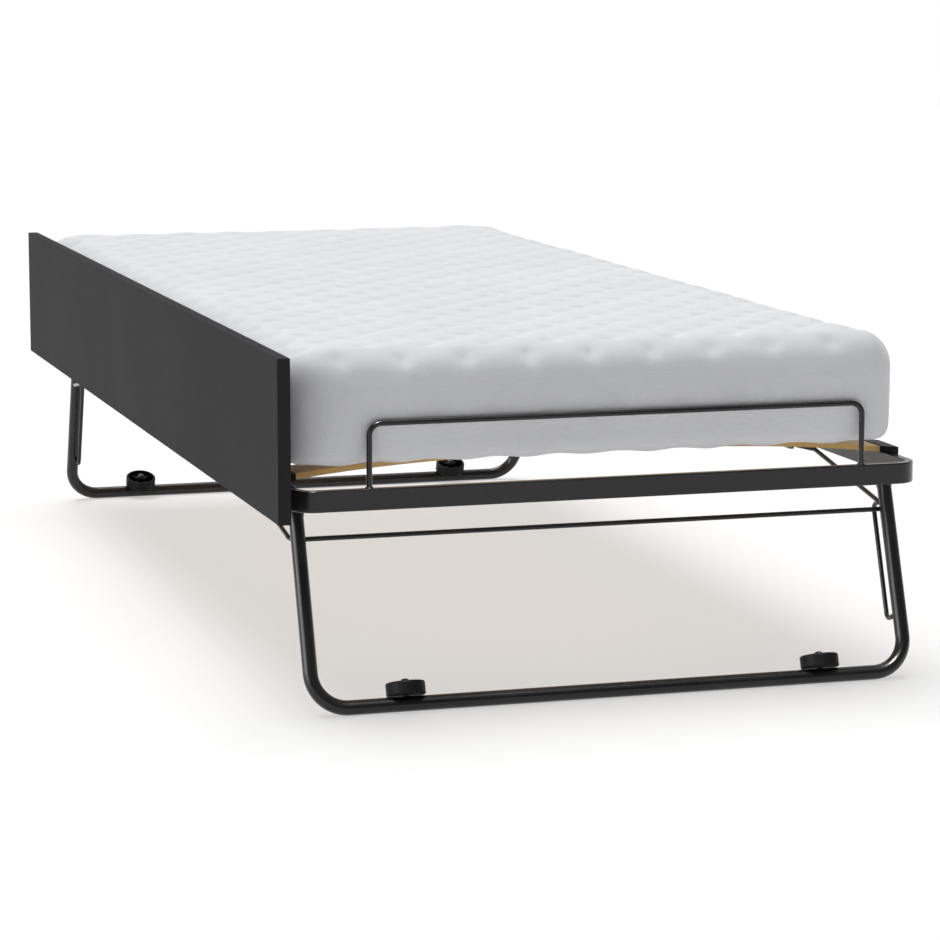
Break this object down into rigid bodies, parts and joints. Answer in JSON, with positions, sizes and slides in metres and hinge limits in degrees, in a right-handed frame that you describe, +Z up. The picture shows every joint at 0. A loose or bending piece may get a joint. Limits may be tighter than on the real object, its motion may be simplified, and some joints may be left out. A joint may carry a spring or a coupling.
{
  "type": "pull-out bed with folding legs",
  "caption": "Low guest bed: black tube frame with folding roller legs, bowed wooden slats, a dark side board and a white mattress.",
  "frame": {"origin": "on the floor under the middle of the whole object", "axes": "+Z up, +Y towards the head end, +X away from the side board"},
  "size_m": [0.9564, 2, 0.503],
  "materials": {
    "board": "matte",
    "frame_steel": "satin",
    "bright_steel": "satin",
    "slat_wood": "satin",
    "black_plastic": "matte",
    "mattress_cloth": "matte"
  },
  "bodies": {
    "frame": {"front_board": "board", "panel_bracket_1": "frame_steel", "panel_bracket_2": "frame_steel", "panel_bracket_3": "frame_steel", "panel_bracket_4": "frame_steel", "panel_screws": "bright_steel", "bracket_bolts": "bright_steel", "side_rail_left": "frame_steel", "side_rail_right": "frame_steel", "end_bar_foot": "frame_steel", "end_bar_head": "frame_steel", "mattress_hoop": "frame_steel", "slat_01": "slat_wood", "slat_02": "slat_wood", "slat_03": "slat_wood", "slat_04": "slat_wood", "slat_05": "slat_wood", "slat_06": "slat_wood", "slat_07": "slat_wood", "slat_08": "slat_wood", "slat_09": "slat_wood", "slat_10": "slat_wood", "slat_11": "slat_wood", "slat_12": "slat_wood", "slat_13": "slat_wood", "slat_14": "slat_wood", "slat_caps_left": "black_plastic", "slat_caps_right": "black_plastic", "pivot_tab_foot_left": "frame_steel", "brace_track_foot_left": "frame_steel", "pivot_tab_foot_right": "frame_steel", "brace_track_foot_right": "frame_steel", "pivot_tab_head_left": "frame_steel", "brace_track_head_left": "frame_steel", "pivot_tab_head_right": "frame_steel", "brace_track_head_right": "frame_steel", "pivot_pins": "frame_steel"},
    "leg_foot": {"leg_foot": "frame_steel", "wheel_axles_foot": "frame_steel", "keeper_foot_left": "frame_steel", "keeper_foot_right": "frame_steel"},
    "leg_head": {"leg_head": "frame_steel", "wheel_axles_head": "frame_steel", "keeper_head_left": "frame_steel", "keeper_head_right": "frame_steel"},
    "brace_foot": {"brace_foot": "frame_steel"},
    "brace_head": {"brace_head": "frame_steel"},
    "wheel_foot_left": {"wheel_foot_left": "black_plastic"},
    "wheel_foot_right": {"wheel_foot_right": "black_plastic"},
    "wheel_head_left": {"wheel_head_left": "black_plastic"},
    "wheel_head_right": {"wheel_head_right": "black_plastic"},
    "mattress": {"mattress": "mattress_cloth"}
  },
  "joints": [
    {"name": "leg_foot_fold", "type": "hinge", "parent": "frame", "child": "leg_foot", "pos_m": [0.02275, -0.84716, 0.2656], "axis": [1, 0, 0], "range_deg": [0, 109.76]},
    {"name": "brace_foot_swing", "type": "hinge", "parent": "leg_foot", "child": "brace_foot", "pos_m": [0.02275, -0.8442, 0.23036], "axis": [-1, 0, 0], "range_deg": [0, 119.5]},
    {"name": "wheel_foot_left_turn", "type": "hinge", "parent": "leg_foot", "child": "wheel_foot_left", "pos_m": [-0.28425, -0.93177, 0.03008], "axis": [0, 0.3381, 0.9411], "continuous": true},
    {"name": "wheel_foot_right_turn", "type": "hinge", "parent": "leg_foot", "child": "wheel_foot_right", "pos_m": [0.32975, -0.93177, 0.03008], "axis": [0, 0.3381, 0.9411], "continuous": true},
    {"name": "leg_head_fold", "type": "hinge", "parent": "frame", "child": "leg_head", "pos_m": [0.02275, 0.84716, 0.2656], "axis": [-1, 0, 0], "range_deg": [0, 109.76]},
    {"name": "brace_head_swing", "type": "hinge", "parent": "leg_head", "child": "brace_head", "pos_m": [0.02275, 0.8442, 0.23036], "axis": [1, 0, 0], "range_deg": [0, 119.5]},
    {"name": "wheel_head_left_turn", "type": "hinge", "parent": "leg_head", "child": "wheel_head_left", "pos_m": [-0.28425, 0.93177, 0.03008], "axis": [0, -0.3381, 0.9411], "continuous": true},
    {"name": "wheel_head_right_turn", "type": "hinge", "parent": "leg_head", "child": "wheel_head_right", "pos_m": [0.32975, 0.93177, 0.03008], "axis": [0, -0.3381, 0.9411], "continuous": true},
    {"name": "mattress_lift", "type": "slide", "parent": "frame", "child": "mattress", "axis": [0, 0, 1], "range_m": [0, 0.25]}
  ],
  "couplings": [
    {"joint": "brace_foot_swing", "follows": "leg_foot_fold", "ratio": 1.0884},
    {"joint": "brace_head_swing", "follows": "leg_head_fold", "ratio": 1.0884}
  ]
}
